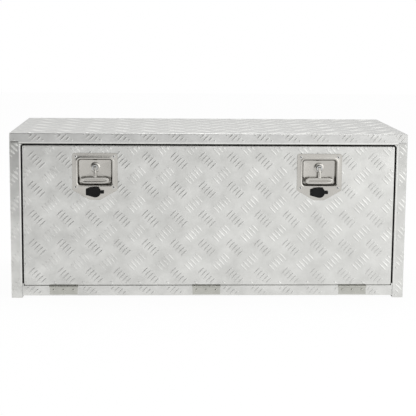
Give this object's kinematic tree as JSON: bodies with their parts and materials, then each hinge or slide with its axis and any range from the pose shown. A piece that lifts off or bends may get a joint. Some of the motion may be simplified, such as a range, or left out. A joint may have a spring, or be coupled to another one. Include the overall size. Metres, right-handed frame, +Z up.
{
  "type": "truck tool box",
  "caption": "Tread plate truck tool box with a drop-down front door, folding T-handle latches with key locks, butt hinges and slotted door stays.",
  "frame": {"origin": "on the ground under the middle of the cabinet", "axes": "+X to the right of someone who faces the door, +Y to the back, +Z up"},
  "size_m": [1.2, 0.508, 0.505],
  "materials": {
    "tread_plate": "bright five-bar aluminium tread plate",
    "mill_aluminium": "plain mill finish aluminium sheet",
    "stainless": "pressed and polished stainless steel",
    "hinge_steel": "brushed stainless strip",
    "rivet": "domed aluminium blind rivets",
    "zinc_plate": "zinc plated steel",
    "chrome": "bright plated lock cylinder",
    "black_rubber": "black rubber"
  },
  "bodies": {
    "cabinet": {"top_panel": "tread_plate", "left_side_panel": "tread_plate", "right_side_panel": "tread_plate", "back_panel": "tread_plate", "floor_panel": "tread_plate", "front_sill": "tread_plate", "header_frame": "tread_plate", "left_jamb": "tread_plate", "right_jamb": "tread_plate", "door_seal": "black_rubber", "left_hinge_sill_leaf": "hinge_steel", "centre_hinge_sill_leaf": "hinge_steel", "right_hinge_sill_leaf": "hinge_steel", "hinge_pins": "hinge_steel", "hinge_sill_rivets": "rivet", "left_stay_bracket": "zinc_plate", "right_stay_bracket": "zinc_plate", "stay_guide_pins": "zinc_plate", "stay_bracket_rivets": "rivet"},
    "door": {"door_skin": "tread_plate", "left_door_stiffener": "mill_aluminium", "right_door_stiffener": "mill_aluminium", "left_hinge_door_leaf": "hinge_steel", "centre_hinge_door_leaf": "hinge_steel", "right_hinge_door_leaf": "hinge_steel", "hinge_door_rivets": "rivet", "left_latch_plate": "stainless", "right_latch_plate": "stainless", "left_latch_gasket": "black_rubber", "right_latch_gasket": "black_rubber", "left_spindle_bush": "zinc_plate", "right_spindle_bush": "zinc_plate", "left_lock_barrel": "chrome", "right_lock_barrel": "chrome", "latch_rivets": "rivet", "key_cover_posts": "chrome", "lock_nuts": "zinc_plate", "left_stay_lug": "zinc_plate", "right_stay_lug": "zinc_plate", "stay_pivot_pins": "zinc_plate"},
    "left_spindle": {"left_spindle": "zinc_plate", "left_cross_pin": "zinc_plate", "left_cam": "zinc_plate", "left_cam_nut": "zinc_plate"},
    "left_handle": {"left_t_handle": "stainless"},
    "left_lock": {"left_lock_plug": "chrome", "left_lock_tongue": "zinc_plate"},
    "left_key_cover": {"left_key_cover": "black_rubber"},
    "left_stay": {"left_stay_arm": "zinc_plate"},
    "right_spindle": {"right_spindle": "zinc_plate", "right_cross_pin": "zinc_plate", "right_cam": "zinc_plate", "right_cam_nut": "zinc_plate"},
    "right_handle": {"right_t_handle": "stainless"},
    "right_lock": {"right_lock_plug": "chrome", "right_lock_tongue": "zinc_plate"},
    "right_key_cover": {"right_key_cover": "black_rubber"},
    "right_stay": {"right_stay_arm": "zinc_plate"}
  },
  "joints": [
    {"name": "door_swing", "type": "hinge", "parent": "cabinet", "child": "door", "pos_m": [0, -0.2532, 0.0358], "axis": [1, 0, 0], "range_deg": [0, 90]},
    {"name": "left_latch_turn", "type": "hinge", "parent": "door", "child": "left_spindle", "pos_m": [-0.345, -0.2475, 0.4005], "axis": [0, -1, 0], "range_deg": [0, 90]},
    {"name": "left_handle_fold", "type": "hinge", "parent": "left_spindle", "child": "left_handle", "pos_m": [-0.345, -0.2475, 0.4005], "axis": [-1, 0, 0], "range_deg": [0, 90]},
    {"name": "left_lock_turn", "type": "hinge", "parent": "door", "child": "left_lock", "pos_m": [-0.345, -0.2475, 0.3275], "axis": [0, 1, 0], "range_deg": [0, 78]},
    {"name": "left_key_cover_swing", "type": "hinge", "parent": "door", "child": "left_key_cover", "pos_m": [-0.366, -0.2475, 0.3275], "axis": [0, 1, 0], "range_deg": [0, 90]},
    {"name": "left_stay_swing", "type": "hinge", "parent": "door", "child": "left_stay", "pos_m": [-0.538, -0.212, 0.21102], "axis": [1, 0, 0], "range_deg": [-45, 0]},
    {"name": "right_latch_turn", "type": "hinge", "parent": "door", "child": "right_spindle", "pos_m": [0.333, -0.2475, 0.4005], "axis": [0, 1, 0], "range_deg": [0, 90]},
    {"name": "right_handle_fold", "type": "hinge", "parent": "right_spindle", "child": "right_handle", "pos_m": [0.333, -0.2475, 0.4005], "axis": [-1, 0, 0], "range_deg": [0, 90]},
    {"name": "right_lock_turn", "type": "hinge", "parent": "door", "child": "right_lock", "pos_m": [0.333, -0.2475, 0.3275], "axis": [0, -1, 0], "range_deg": [0, 78]},
    {"name": "right_key_cover_swing", "type": "hinge", "parent": "door", "child": "right_key_cover", "pos_m": [0.312, -0.2475, 0.3275], "axis": [0, 1, 0], "range_deg": [0, 90]},
    {"name": "right_stay_swing", "type": "hinge", "parent": "door", "child": "right_stay", "pos_m": [0.538, -0.212, 0.21102], "axis": [1, 0, 0], "range_deg": [-45, 0]}
  ],
  "couplings": [
    {"joint": "left_handle_fold", "follows": "left_latch_turn", "ratio": 1},
    {"joint": "left_stay_swing", "follows": "door_swing", "ratio": -0.5},
    {"joint": "right_handle_fold", "follows": "right_latch_turn", "ratio": 1},
    {"joint": "right_stay_swing", "follows": "door_swing", "ratio": -0.5}
  ]
}
